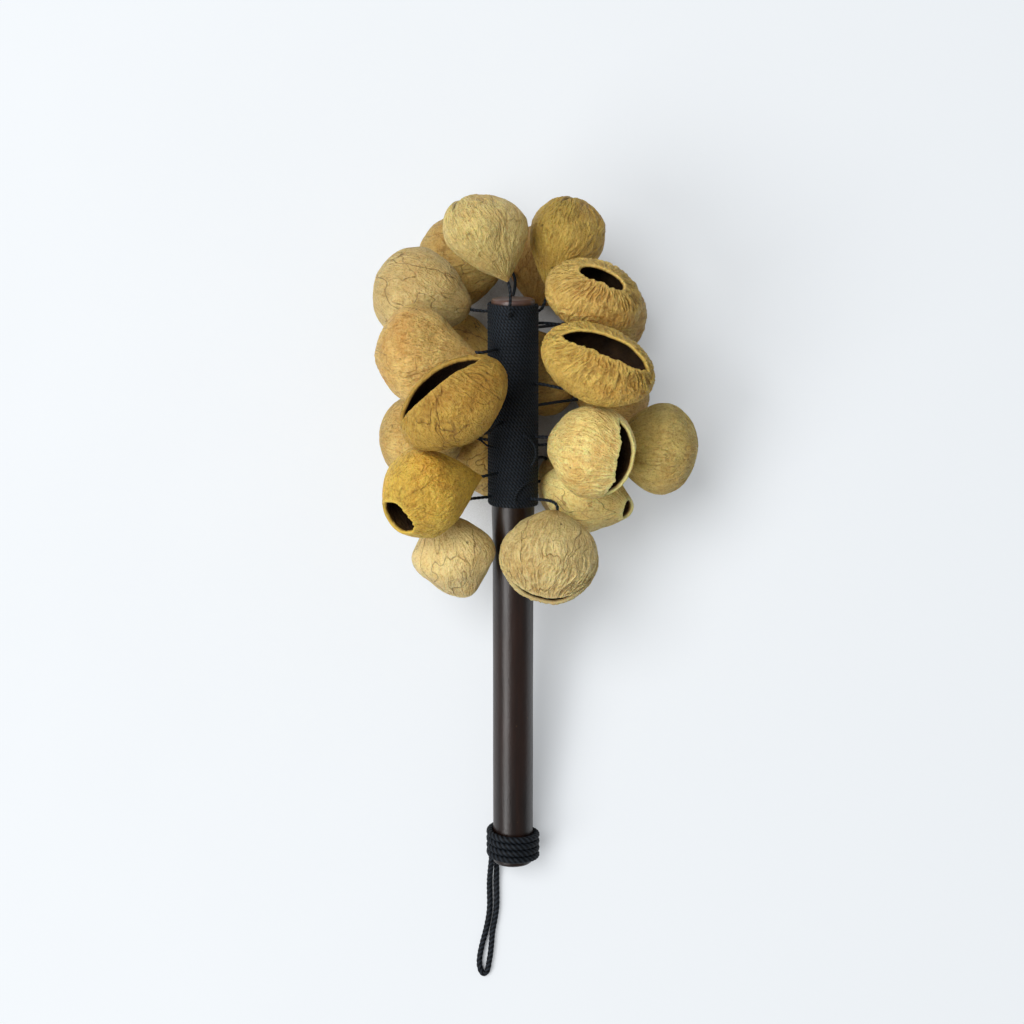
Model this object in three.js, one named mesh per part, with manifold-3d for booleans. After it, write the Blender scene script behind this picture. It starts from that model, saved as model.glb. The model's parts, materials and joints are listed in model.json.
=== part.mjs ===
// Seed pod shaker: hollow seed shells tied round the head of a turned stick, with a cord band and wrist
// loop at its butt. Millimetres, +Z up. It lies on a table at z = 0 with its head towards +Y.

import * as THREE from "three";
import { mergeVertices } from "three/addons/utils/BufferGeometryUtils.js";
import Module from "manifold-3d";

const FIT_GAP = 0.3;

// Colour and roughness of the stained wood, the black twine and cord, and the shells
const WOOD = { color: 0x2b1d15, roughness: 0.35 };
const TWINE = { color: 0x14181b, roughness: 0.6 };
const CORD = { color: 0x191f24, roughness: 0.6 };
const TAN = { color: 0xb29459, roughness: 0.55 };
const PALE = { color: 0xcbad6e, roughness: 0.5 };
const BROWN = { color: 0x9a7a40, roughness: 0.6 };

// Stick
const STICK_LENGTH = 285;
const GRIP_DIAMETER = 20;
const HEAD_DIAMETER = 21;
const HEAD_TAPER_LENGTH = 22;
const END_CHAMFER = 1.2;

// Twine binding round the head, laid as a flat hank of parallel twines
const BINDING_LENGTH = 99;
const BINDING_TURNS = 22;
const BINDING_SPACING = 0.55;
const HEAD_BARE_LENGTH = 2;
const TWINE_DIAMETER = 1.6;

// Cord of the butt band and wrist loop
const CORD_DIAMETER = 3;
const BAND_TURNS = 4;
const BAND_SPACING = 0.5;
const BUTT_BARE_LENGTH = 1.5;

// Wrist loop: angles round the stick where its two legs leave the band, and its route over the table from
// the butt (right, towards the head, height above the table)
const LOOP_LEGS = [203, 225];
const LOOP_ROUTE = [
  [-11.7, -8, 3],
  [-12, -13.4, 0.7],
  [-11.9, -19.5, 0],
  [-11.9, -25, 0],
  [-12.6, -31, 0],
  [-14, -37.5, 0],
  [-15.7, -44, 0],
  [-16.9, -50, 0],
  [-17.1, -54.6, 0],
  [-16, -58.3, 0],
  [-14.2, -58.9, 0],
  [-12.9, -56.8, 0],
  [-12.2, -53, 0],
  [-11.6, -49.5, 0],
  [-11, -44, 0],
  [-10.4, -37.5, 0],
  [-9.2, -31, 0],
  [-8.4, -25, 0],
  [-8.3, -19, 0],
  [-8.4, -13, 0],
  [-8.4, -8, 0.7],
];

// Seed pod of size 1: length from tip to mouth, width along the mouth, depth across it
const POD_LENGTH = 43;
const POD_WIDTH = 50;
const POD_DEPTH = 38;
const POD_WALL = 2.2;
const POD_GAP = 0.8;

// Mouth: share of the pod's width along which it is cut open, how far it gapes, and how far it sits to the
// side and up as shares of the width and depth
const SLIT = { span: 0.78, gape: 6 };
const WIDE = { span: 0.8, gape: 12 };
const SHORT = { span: 0.48, gape: 9 };
const LONG = { span: 0.82, gape: 11 };
const ROUND = { span: 0.36, gape: 15, aside: -0.15, lift: 0.11 };
const SMALL = { span: 0.22, gape: 7, lift: 0.06 };
const LIFTED = { span: 0.7, gape: 6, lift: 0.15 };

// Pod tie: a cord from the binding to a knot inside the pod's tip
const TIE_DIAMETER = 1.6;
const KNOT_DIAMETER = 4.4;

// Share of the binding's length over which ties leave it
const TIE_SPREAD = 0.9;

// Share of the way round its outline from either end over which a pod fills out
const END_REACH = 0.62;

// Flat sides of round forms
const STICK_SIDES = 32;
const CORD_SIDES = 6;
const TURN_STEPS = 16;
const TIE_STEPS = 4;
const LOOP_STEPS = 44;
const LOOP_SIDES = 8;
const MOUTH_STEPS = 4;
const SHELL_SIDES = 12;
const SHELL_RINGS = 8;
const HOLLOW_SIDES = 10;
const HOLLOW_RINGS = 6;
const HOLE_SIDES = 6;

// Rounds in which crowded pods push each other apart, and steps in which the lean and the knot's seat are
// found
const CROWD_ROUNDS = 300;
const LEAN_STEP = THREE.MathUtils.degToRad(0.01);
const SEAT_STEP = 0.01;

// Points closer than this are one
const WELD = 1e-4;

// The pods before they crowd each other. at: middle of the pod from the middle of the binding (right, towards
// the head, up). facing: heading of its mouth seen from above (0 to the head, 90 right), how far the mouth
// rises, and the turn of the mouth about that line. swing: turn of the swinging plane about the line from the
// tie to the pod, where 0 lifts the pod up. size: length, width and depth against a pod of size 1. ends: the
// share of the full girth that it has at its tip and at its mouth.
const PODS = [
  {
    at: [-11, 80, 10], facing: [-24, -18, 60], swing: 0,
    size: [1.06, 1.04, 1.02], ends: [0.12, 1], mouth: SLIT, tone: TAN,
  },
  {
    at: [25, 76, -16], facing: [20, -15, 60], swing: 90,
    size: [1.12, 1, 1], ends: [0.25, 0.95], mouth: SLIT, tone: BROWN,
  },
  {
    at: [-44, 50, -15], facing: [-76, -10, 0], swing: 60,
    size: [1.14, 1, 1], ends: [0.5, 1], mouth: SLIT, tone: TAN,
  },
  {
    at: [-40, 26, 18], facing: [-94, -15, 0], swing: 60,
    size: [1.16, 1.02, 1.05], ends: [0.15, 1], mouth: SLIT, tone: TAN,
  },
  {
    at: [-28, 6, 41], facing: [-38, 35, 0], swing: 0,
    size: [1, 1.18, 1], ends: [0.75, 1], mouth: LONG, tone: BROWN,
  },
  {
    at: [-34, -42, 27], facing: [-100, 30, 0], swing: -30,
    size: [1.24, 0.96, 1.05], ends: [0.12, 1], mouth: ROUND, tone: TAN,
  },
  {
    at: [-24, -65, 13], facing: [168, -10, 0], swing: -30,
    size: [1, 0.92, 0.95], ends: [0.6, 0.5], mouth: SLIT, tone: PALE,
  },
  {
    at: [36, 48, 14], facing: [22, 50, 0], swing: -60,
    size: [1, 1, 0.95], ends: [0.55, 1], mouth: SHORT, tone: BROWN,
  },
  {
    at: [40, 24, 31], facing: [22, 52, 0], swing: -60,
    size: [1, 1.15, 1], ends: [0.65, 1], mouth: WIDE, tone: BROWN,
  },
  {
    at: [36, -16, 26], facing: [100, 42, 0], swing: 0,
    size: [1.1, 0.94, 1], ends: [0.65, 1], mouth: WIDE, tone: PALE,
  },
  {
    at: [69, -22, -3], facing: [95, 8, 0], swing: -60,
    size: [1, 0.96, 0.95], ends: [0.5, 1], mouth: SLIT, tone: BROWN,
  },
  {
    at: [35, -43, 1], facing: [104, 18, 0], swing: 90,
    size: [1.12, 0.86, 0.98], ends: [0.55, 0.5], mouth: SMALL, tone: PALE,
  },
  {
    at: [17, -69, 28], facing: [190, 16, 0], swing: 0,
    size: [1.05, 1, 1], ends: [0.8, 0.95], mouth: LIFTED, tone: TAN,
  },
  {
    at: [-22, 56, -50], facing: [-85, -16, 0], swing: 60,
    size: [1.05, 1, 0.9], ends: [0.65, 1], mouth: SLIT, tone: TAN,
  },
  {
    at: [15, 60, -52], facing: [20, -15, 0], swing: 180,
    size: [0.98, 0.93, 0.9], ends: [0.65, 1], mouth: SLIT, tone: TAN,
  },
  {
    at: [-26, 24, -43], facing: [-90, -30, 0], swing: 300,
    size: [1.05, 1, 0.93], ends: [0.7, 1], mouth: SLIT, tone: TAN,
  },
  {
    at: [46, 40, -47], facing: [80, -25, 0], swing: 0,
    size: [0.9, 0.86, 0.9], ends: [0.5, 1], mouth: SLIT, tone: TAN,
  },
  {
    at: [48, -1, -39], facing: [90, -30, 0], swing: 0,
    size: [0.95, 0.9, 0.92], ends: [0.5, 1], mouth: SLIT, tone: TAN,
  },
  {
    at: [-43, -21, -19], facing: [-95, -10, 0], swing: -60,
    size: [1, 0.95, 0.95], ends: [0.5, 1], mouth: SLIT, tone: TAN,
  },
  {
    at: [-12, -32, -34], facing: [-140, -30, 0], swing: 180,
    size: [0.97, 0.96, 0.9], ends: [0.65, 1], mouth: SLIT, tone: TAN,
  },
  {
    at: [30, -42, -32], facing: [130, -30, 0], swing: 90,
    size: [0.94, 0.92, 0.9], ends: [0.6, 1], mouth: SLIT, tone: TAN,
  },
  {
    at: [14, 8, -41], facing: [70, -40, 0], swing: 120,
    size: [0.94, 0.93, 0.9], ends: [0.65, 1], mouth: SLIT, tone: TAN,
  },
];

const BINDING_RADIUS = HEAD_DIAMETER / 2 + FIT_GAP + TWINE_DIAMETER;
const BINDING_MIDDLE = STICK_LENGTH - HEAD_BARE_LENGTH - BINDING_LENGTH / 2;
const BAND_RADIUS = GRIP_DIAMETER / 2 + FIT_GAP + CORD_DIAMETER;
const TIE_PIVOT_RADIUS = BINDING_RADIUS + FIT_GAP + TIE_DIAMETER / 2;

const wasm = await Module();
wasm.setup();

function solidOf(geometry, matrix = new THREE.Matrix4()) {
  const bare = geometry.clone().applyMatrix4(matrix);
  bare.deleteAttribute("normal");
  bare.deleteAttribute("uv");
  const merged = mergeVertices(bare, WELD);
  const vertProperties = new Float32Array(merged.attributes.position.array);
  const triVerts = new Uint32Array(merged.index.array);
  return new wasm.Manifold(new wasm.Mesh({ numProp: 3, vertProperties, triVerts }));
}

function geometryOf(solid) {
  const mesh = solid.getMesh();
  const geometry = new THREE.BufferGeometry();
  geometry.setAttribute("position", new THREE.BufferAttribute(mesh.vertProperties, 3));
  geometry.setIndex(new THREE.BufferAttribute(mesh.triVerts, 1));
  geometry.computeVertexNormals();
  return geometry;
}

function named(name, geometry, { color, roughness }) {
  const material = new THREE.MeshStandardMaterial({ color, roughness, metalness: 0 });
  material.name = name;
  const mesh = new THREE.Mesh(geometry, material);
  mesh.name = name;
  return mesh;
}

function stickGeometry() {
  const grip = GRIP_DIAMETER / 2;
  const head = HEAD_DIAMETER / 2;
  const headStart = STICK_LENGTH - HEAD_BARE_LENGTH - BINDING_LENGTH;
  const profile = [
    [0, 0],
    [grip - END_CHAMFER, 0],
    [grip, END_CHAMFER],
    [grip, headStart - HEAD_TAPER_LENGTH],
    [head, headStart],
    [head, STICK_LENGTH - END_CHAMFER],
    [head - END_CHAMFER, STICK_LENGTH],
    [0, STICK_LENGTH],
  ];
  return new THREE.LatheGeometry(profile.map(([r, y]) => new THREE.Vector2(r, y)), STICK_SIDES);
}

function ringOf(middle, outward, aside, thickness, width) {
  return Array.from({ length: CORD_SIDES }, (_, k) => {
    const angle = (2 * Math.PI * (k + 0.5)) / CORD_SIDES;
    return middle.clone()
      .addScaledVector(outward, (Math.cos(angle) * thickness) / 2)
      .addScaledVector(aside, (Math.sin(angle) * width) / 2);
  });
}

// Closed tube through a row of rings.
function skinOf(rings) {
  const points = rings.flat();
  const index = [];
  for (let r = 0; r + 1 < rings.length; r += 1) {
    for (let k = 0; k < CORD_SIDES; k += 1) {
      const a = r * CORD_SIDES + k;
      const b = r * CORD_SIDES + ((k + 1) % CORD_SIDES);
      index.push(a, b, a + CORD_SIDES, b, b + CORD_SIDES, a + CORD_SIDES);
    }
  }
  const end = points.length - CORD_SIDES;
  for (let k = 1; k + 1 < CORD_SIDES; k += 1) {
    index.push(0, k + 1, k, end, end + k, end + k + 1);
  }
  const geometry = new THREE.BufferGeometry().setFromPoints(points);
  geometry.setIndex(index);
  geometry.computeVertexNormals();
  return geometry;
}

// Tube of flattened section wound round the stick from y = start, its ends running straight off the turns.
function windingGeometry(name, start, coreRadius, turns, pitch, width, thickness) {
  const steps = TURN_STEPS;
  const radius = coreRadius + FIT_GAP + thickness / 2;
  const stations = [];
  const addStation = (step, onward) => {
    const angle = (2 * Math.PI * step) / steps;
    const outward = new THREE.Vector3(Math.cos(angle), 0, Math.sin(angle));
    const tangent = new THREE.Vector3(-Math.sin(angle), pitch / (2 * Math.PI * radius), Math.cos(angle));
    tangent.normalize();
    const middle = outward.clone().multiplyScalar(radius).addScaledVector(tangent, onward);
    middle.y += start + (pitch * step) / steps;
    stations.push({ middle, outward, aside: new THREE.Vector3().crossVectors(tangent, outward) });
  };
  addStation(0, -thickness);
  for (let step = 0; step <= turns * steps; step += 1) {
    addStation(step, 0);
  }
  addStation(turns * steps, thickness);

  let least = Infinity;
  for (let i = 0; i < stations.length; i += 1) {
    for (let j = i + steps / 2; j < stations.length; j += 1) {
      least = Math.min(least, stations[i].middle.distanceTo(stations[j].middle) - width);
    }
  }
  console.log(`${name}: least gap between turns ${least.toFixed(2)} mm`);
  return skinOf(stations.map((spot) => ringOf(spot.middle, spot.outward, spot.aside, thickness, width)));
}

// Fullness of a pod at a share of the way round its outline from the tip to the mouth.
function girth(share, [tip, mouth]) {
  const fromTip = tip + (1 - tip) * THREE.MathUtils.smoothstep(share, 0, END_REACH);
  const fromMouth = mouth + (1 - mouth) * THREE.MathUtils.smoothstep(1 - share, 0, END_REACH);
  return fromTip * fromMouth;
}

// Closed drop with its tip at the origin and its mouth end at +Y; width runs along X and depth along Z.
function dropGeometry({ length, width, depth, ends }, around, along) {
  const geometry = new THREE.SphereGeometry(0.5, around, along);
  const position = geometry.attributes.position;
  for (let i = 0; i < position.count; i += 1) {
    const share = Math.acos(THREE.MathUtils.clamp(-2 * position.getY(i), -1, 1)) / Math.PI;
    const fill = girth(share, ends);
    position.setXYZ(
      i,
      position.getX(i) * width * fill,
      (position.getY(i) + 0.5) * length,
      position.getZ(i) * depth * fill,
    );
  }
  return geometry;
}

function mouthGeometry({ span, gape, aside = 0, lift = 0 }, { length, width, depth }) {
  const half = (span * width) / 2;
  const lens = new THREE.Shape();
  lens.moveTo(-half, 0);
  lens.quadraticCurveTo(0, -gape, half, 0);
  lens.quadraticCurveTo(0, gape, -half, 0);
  const cutter = new THREE.ExtrudeGeometry(lens, {
    depth: length,
    bevelEnabled: false,
    curveSegments: MOUTH_STEPS,
  });
  cutter.rotateX(-Math.PI / 2);
  cutter.translate(aside * width, length / 2, lift * depth);
  return cutter;
}

function podSize({ size: [length, width, depth], ends }) {
  return { length: POD_LENGTH * length, width: POD_WIDTH * width, depth: POD_DEPTH * depth, ends };
}

function hollowSize({ length, width, depth, ends }) {
  const walls = 2 * POD_WALL;
  return { length: length - walls, width: width - walls, depth: depth - walls, ends };
}

function podShell(pod) {
  const size = podSize(pod);
  const hollow = dropGeometry(hollowSize(size), HOLLOW_SIDES, HOLLOW_RINGS);
  hollow.translate(0, POD_WALL, 0);
  const holeRadius = TIE_DIAMETER / 2 + FIT_GAP;
  const hole = new THREE.CylinderGeometry(holeRadius, holeRadius, size.length / 2, HOLE_SIDES);
  return solidOf(dropGeometry(size, SHELL_SIDES, SHELL_RINGS))
    .subtract(solidOf(hollow))
    .subtract(solidOf(mouthGeometry(pod.mouth, size)))
    .subtract(solidOf(hole));
}

// Distance from the tip at which the hollow of a pod takes the knot.
function knotSeat(pod) {
  const { length, depth, ends } = hollowSize(podSize(pod));
  const flatDepth = depth * Math.cos(Math.PI / HOLLOW_SIDES);
  let share = 0;
  while (girth(share, ends) * Math.sin(Math.PI * share) * flatDepth < KNOT_DIAMETER + 2 * FIT_GAP) {
    share += SEAT_STEP;
  }
  return POD_WALL + (length * (1 - Math.cos(Math.PI * share))) / 2 + KNOT_DIAMETER / 2;
}

// Tie from the pivot at the origin, square off the binding, to the tip of its pod and on to the knot inside.
function tieGeometry(off, tip, inward, knot) {
  const thin = TIE_DIAMETER / 2;
  const thick = KNOT_DIAMETER / 2;
  const ease = tip.length() / 3;
  const cord = new THREE.CubicBezierCurve3(
    new THREE.Vector3(),
    off.clone().multiplyScalar(ease),
    tip.clone().addScaledVector(inward, -ease),
    tip,
  );
  const aside = new THREE.Vector3().crossVectors(off, inward);
  const stations = [[off.clone().multiplyScalar(-thin), off, thin / 2]];
  for (let step = 0; step <= TIE_STEPS; step += 1) {
    stations.push([cord.getPoint(step / TIE_STEPS), cord.getTangent(step / TIE_STEPS), thin]);
  }
  const beyond = (distance, radius) => {
    stations.push([tip.clone().addScaledVector(inward, distance), inward, radius]);
  };
  beyond(knot - thick, thin);
  beyond(knot - thick / 2, thick);
  beyond(knot + thick / 2, thick);
  beyond(knot + thick, thin);
  return skinOf(stations.map(([middle, tangent, radius]) => {
    const outward = new THREE.Vector3().crossVectors(aside, tangent).normalize();
    const across = new THREE.Vector3().crossVectors(tangent, outward);
    return ringOf(middle, outward, across, 2 * radius, 2 * radius);
  }));
}

// Axes of a pod that swings at its tie: +Y out from the tie to the pod, +Z the way it swings, +X its hinge.
function swingMatrix(pivot, outward, turn) {
  const up = new THREE.Vector3(0, 0, 1);
  const lift = up.addScaledVector(outward, -up.dot(outward)).normalize();
  lift.applyAxisAngle(outward, THREE.MathUtils.degToRad(turn));
  const axis = new THREE.Vector3().crossVectors(outward, lift);
  return new THREE.Matrix4().makeBasis(axis, outward, lift).setPosition(pivot);
}

// Turn of a pod: its mouth along a heading and rise, its width level before the last turn about that line.
function facingMatrix([heading, rise, turn]) {
  const [a, b, c] = [heading, rise, turn].map(THREE.MathUtils.degToRad);
  return new THREE.Matrix4().makeRotationZ(-a)
    .multiply(new THREE.Matrix4().makeRotationX(b))
    .multiply(new THREE.Matrix4().makeRotationY(c));
}

// How far a pod reaches from its middle along a unit direction.
function reachOf({ corners }, direction, way = 1) {
  return Math.max(...corners.map((corner) => way * corner.dot(direction)));
}

// Room between two pods along the line that parts them best, and that line from the first to the second.
function partingOf(one, other) {
  const apart = new THREE.Vector3().subVectors(other.middle, one.middle);
  let best = { room: -Infinity };
  [apart.clone().normalize(), ...one.axes, ...other.axes].forEach((line) => {
    const way = Math.sign(apart.dot(line));
    const room = Math.abs(apart.dot(line)) - reachOf(one, line, way) - reachOf(other, line, -way);
    if (room > best.room) {
      best = { room, line: line.clone().multiplyScalar(way) };
    }
  });
  return best;
}

// Pods that meet push each other and the stick apart until all are clear.
function crowd(seats) {
  const along = new THREE.Vector3(0, 1, 0);
  const headEnd = STICK_LENGTH + POD_GAP;
  const bindingStart = STICK_LENGTH - HEAD_BARE_LENGTH - BINDING_LENGTH - POD_GAP;
  for (let round = 0; round < CROWD_ROUNDS; round += 1) {
    seats.forEach((one, i) => {
      seats.slice(i + 1).forEach((other) => {
        if (one.middle.distanceTo(other.middle) < one.size.width + other.size.width) {
          const { room, line } = partingOf(one, other);
          const push = Math.max(POD_GAP - room, 0) / 2;
          one.middle.addScaledVector(line, -push);
          other.middle.addScaledVector(line, push);
        }
      });
      const out = new THREE.Vector3(one.middle.x, 0, one.middle.z);
      const radius = out.length();
      out.normalize();
      const bound = one.middle.y + reachOf(one, along) > bindingStart;
      const core = bound ? BINDING_RADIUS : HEAD_DIAMETER / 2;
      const bury = core + POD_GAP + reachOf(one, out, -1) - radius;
      if (bury > 0 && one.middle.y - reachOf(one, along, -1) < headEnd) {
        one.middle.addScaledVector(out, bury);
      }
    });
  }
}

function seatPods() {
  const seats = PODS.map((pod) => {
    const turn = facingMatrix(pod.facing);
    const axes = [0, 1, 2].map((k) => new THREE.Vector3().setFromMatrixColumn(turn, k));
    const middle = new THREE.Vector3(...pod.at).add(new THREE.Vector3(0, BINDING_MIDDLE, 0));
    const size = podSize(pod);
    const drop = dropGeometry(size, SHELL_SIDES, SHELL_RINGS);
    drop.translate(0, -size.length / 2, 0);
    drop.applyMatrix4(turn);
    const spots = drop.attributes.position;
    const cornerAt = (_, k) => new THREE.Vector3().fromBufferAttribute(spots, k);
    const corners = Array.from({ length: spots.count }, cornerAt);
    return { pod, turn, axes, middle, size, corners };
  });
  crowd(seats);
  return seats.map(({ pod, turn, axes, middle, size }) => {
    const tip = middle.clone().addScaledVector(axes[1], -size.length / 2);
    const spread = (TIE_SPREAD * BINDING_LENGTH) / 2;
    const station = THREE.MathUtils.clamp(tip.y, BINDING_MIDDLE - spread, BINDING_MIDDLE + spread);
    const off = new THREE.Vector3(tip.x, 0, tip.z).normalize();
    const pivot = off.clone().multiplyScalar(TIE_PIVOT_RADIUS).setY(station);
    const outward = middle.clone().sub(pivot).normalize();
    return { pod, frame: swingMatrix(pivot, outward, pod.swing), turn, off, tip, inward: axes[1] };
  });
}

const root = new THREE.Group();
root.name = "seed_pod_shaker";
const lying = new THREE.Group();
root.add(lying);

lying.add(named("stick", stickGeometry(), WOOD));
const bindingPitch = BINDING_LENGTH / (BINDING_TURNS + 1);
lying.add(named("head_binding", windingGeometry(
  "head binding",
  STICK_LENGTH - HEAD_BARE_LENGTH - BINDING_LENGTH + bindingPitch / 2,
  HEAD_DIAMETER / 2,
  BINDING_TURNS,
  bindingPitch,
  bindingPitch - BINDING_SPACING,
  TWINE_DIAMETER,
), TWINE));
lying.add(named("butt_band", windingGeometry(
  "butt band",
  BUTT_BARE_LENGTH + CORD_DIAMETER / 2,
  GRIP_DIAMETER / 2,
  BAND_TURNS,
  CORD_DIAMETER + BAND_SPACING,
  CORD_DIAMETER,
  CORD_DIAMETER,
), CORD));

seatPods().forEach(({ pod, frame, turn, off, tip, inward }, i) => {
  const number = String(i + 1).padStart(2, "0");
  const swing = new THREE.Group();
  swing.name = `swing_${number}`;
  swing.applyMatrix4(frame);
  const back = frame.clone().invert();
  const shell = named(`seed_pod_${number}`, geometryOf(podShell(pod)), pod.tone);
  shell.applyMatrix4(back.clone().multiply(turn.clone().setPosition(tip)));
  swing.add(shell);
  const cord = tieGeometry(
    off.clone().transformDirection(back),
    tip.clone().applyMatrix4(back),
    inward.clone().transformDirection(back),
    knotSeat(pod),
  );
  swing.add(named(`pod_tie_${number}`, cord, TWINE));
  lying.add(swing);
});

// The stick leans back on its band until the lowest pod meets the table.
function pointsOf(prefix) {
  const points = [];
  lying.updateMatrixWorld(true);
  lying.traverse((mesh) => {
    if (mesh.isMesh && mesh.name.startsWith(prefix)) {
      const position = mesh.geometry.attributes.position;
      for (let i = 0; i < position.count; i += 1) {
        points.push(new THREE.Vector3().fromBufferAttribute(position, i).applyMatrix4(mesh.matrixWorld));
      }
    }
  });
  return points;
}

function lowest(points, lean) {
  return points.reduce((low, { y, z }) => Math.min(low, y * Math.sin(lean) + z * Math.cos(lean)), Infinity);
}

const podPoints = pointsOf("seed_pod");
const bandPoints = pointsOf("butt_band");
let lean = 0;
while (lowest(podPoints, lean) < lowest(bandPoints, lean)) {
  lean += LEAN_STEP;
}
lying.rotation.x = lean;
lying.position.z = -lowest(bandPoints, lean);
lying.updateMatrixWorld(true);

const standing = new THREE.Box3().setFromObject(lying, true);

// Where a leg of the loop meets the lowest turn of the band, and a straight run along the stick from there.
function legStart(around) {
  const angle = THREE.MathUtils.degToRad(around);
  const radius = BAND_RADIUS - CORD_DIAMETER / 2;
  const turn = BUTT_BARE_LENGTH + ((CORD_DIAMETER + BAND_SPACING) * around) / 360 - FIT_GAP;
  return [turn, turn - CORD_DIAMETER].map((y) => lying.localToWorld(
    new THREE.Vector3(Math.cos(angle) * radius, y, Math.sin(angle) * radius),
  ));
}

function loopGeometry() {
  const onTable = CORD_DIAMETER / 2 + FIT_GAP;
  const route = [
    ...legStart(LOOP_LEGS[0]),
    ...LOOP_ROUTE.map(([x, y, z]) => new THREE.Vector3(x, y, onTable + z)),
    ...legStart(LOOP_LEGS[1]).reverse(),
  ];
  const section = new THREE.Shape();
  section.absarc(0, 0, CORD_DIAMETER / 2, 0, 2 * Math.PI);
  return new THREE.ExtrudeGeometry(section, {
    extrudePath: new THREE.CatmullRomCurve3(route),
    steps: LOOP_STEPS,
    curveSegments: LOOP_SIDES / 2,
    bevelEnabled: false,
  });
}

root.add(named("wrist_loop", loopGeometry(), CORD));
const centre = standing.getCenter(new THREE.Vector3());
root.position.set(-centre.x, -centre.y, 0);
root.updateMatrixWorld(true);

export default root;
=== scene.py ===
import json
import math

import bpy
import numpy as np
from mathutils import Matrix, Vector


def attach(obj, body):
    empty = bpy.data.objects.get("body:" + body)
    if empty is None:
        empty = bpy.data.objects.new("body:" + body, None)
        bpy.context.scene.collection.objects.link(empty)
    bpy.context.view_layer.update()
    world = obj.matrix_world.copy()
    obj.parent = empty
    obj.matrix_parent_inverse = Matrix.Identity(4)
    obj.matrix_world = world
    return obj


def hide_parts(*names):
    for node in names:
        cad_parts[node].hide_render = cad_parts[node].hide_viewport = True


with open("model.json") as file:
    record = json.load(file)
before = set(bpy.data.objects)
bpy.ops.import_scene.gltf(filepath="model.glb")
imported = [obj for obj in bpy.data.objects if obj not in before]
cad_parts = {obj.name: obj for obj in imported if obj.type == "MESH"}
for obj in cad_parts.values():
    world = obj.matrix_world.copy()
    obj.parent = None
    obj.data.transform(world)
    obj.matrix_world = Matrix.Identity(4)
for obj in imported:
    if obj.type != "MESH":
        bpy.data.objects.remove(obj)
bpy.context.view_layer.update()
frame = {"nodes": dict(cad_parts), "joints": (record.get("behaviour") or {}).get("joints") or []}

MM = 0.001
TURN = 2 * math.pi

# Sizes shared with the solids, in millimetres; END_REACH is a share and SHELL_RINGS a count
FIT_GAP = 0.3
STICK_LENGTH = 285
GRIP_DIAMETER = 20
HEAD_DIAMETER = 21
HEAD_TAPER_LENGTH = 22
BINDING_LENGTH = 99
HEAD_BARE_LENGTH = 2
TWINE_DIAMETER = 1.6
CORD_DIAMETER = 3
BAND_TURNS = 4
BAND_SPACING = 0.5
BUTT_BARE_LENGTH = 1.5
POD_LENGTH = 43
POD_WIDTH = 50
POD_DEPTH = 38
TIE_DIAMETER = 1.6
KNOT_DIAMETER = 4.4
END_REACH = 0.62
SHELL_RINGS = 8
BINDING_START = STICK_LENGTH - HEAD_BARE_LENGTH - BINDING_LENGTH

# Wrist loop, as in the solids: where its legs leave the band, in degrees round the stick, and its route from
# the butt (right, towards the head, above the table)
LOOP_LEGS = (203, 225)
LOOP_ROUTE = (
    (-11.7, -8, 3), (-12, -13.4, 0.7), (-11.9, -19.5, 0), (-11.9, -25, 0), (-12.6, -31, 0),
    (-14, -37.5, 0), (-15.7, -44, 0), (-16.9, -50, 0), (-17.1, -54.6, 0), (-16, -58.3, 0),
    (-14.2, -58.9, 0), (-12.9, -56.8, 0), (-12.2, -53, 0), (-11.6, -49.5, 0), (-11, -44, 0),
    (-10.4, -37.5, 0), (-9.2, -31, 0), (-8.4, -25, 0), (-8.3, -19, 0), (-8.4, -13, 0),
    (-8.4, -8, 0.7),
)

# Sizes of the dressed pieces alone, in millimetres; TIP_HOLE_SHARE is a share of a pod's outline
STICK_EDGE = 1.6
STICK_UNEVENNESS = 0.08
FACE_RINGS = (0.02, 4)
SHAFT_START = 4
BOUND_MARGINS = (4, 3)
BINDING_TURNS = 60
BINDING_MARGIN = 0.8
BAND_SWELL = 0.35
STRAY_DIAMETER = 1.0
TIE_ROOT = 0.5
KNOT_SEAT = 3.6
KNOT_SCALE = 0.55
KNOT_LIFT = 1.2
SHELL_WALL = 1.9
SHELL_SKIN = 0.15
SHELL_DRAWN_IN = 0.5
TIP_HOLE_SHARE = 0.021

# Points round the stick, and rings on each rounded edge, the shaft, the taper and the bound head
STICK_SIDES = 96
EDGE_STEPS = 7
SHAFT_STEPS = 40
TAPER_STEPS = 10
BOUND_STEPS = 16

# Steps along the cords in millimetres, and points on the curve of a tie and on its knot
LOOP_STEP = 0.45
STRAY_STEP = 0.35
TIE_STEP = 0.4
TIE_POINTS = 24
KNOT_POINTS = 26
KNOT_OPENING = 0.5

# Twisted cords: number of strands, length of one twist, depth of the grooves and points round the cord
LOOP_LAY = (3, 7.5, 0.2, 18)
BAND_LAY = (3, 7.5, 0.2, 16)
BINDING_LAY = (2, 3.3, 0.5, 12)
STRAY_LAY = (2, 2.6, 0.3, 8)
TIE_LAY = (2, 4.2, 0.3, 10)

# Camera, straight above the stick: focal length in pixels of the photograph, place in metres from the butt
PHOTO_PIXELS = 1024
FOCAL_PIXELS = 2150
SENSOR_WIDTH = 36
CAMERA_OFFSET = (-0.0005, 0.1766)
CAMERA_HEIGHT = 1.1

# Lights: name, strength, angle across in degrees and the way that the light goes
LIGHTS = (
    ("key", 2.05, 36, (0.38, -0.22, -0.9)),
    ("gloss", 1.25, 32, (0.64, 0.35, -0.68)),
)

# Floor, in metres, and strength of the sky
FLOOR_HALF = 3.0
FLOOR_DROP = 0.0002
SKY_STRENGTH = 0.23

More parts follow.
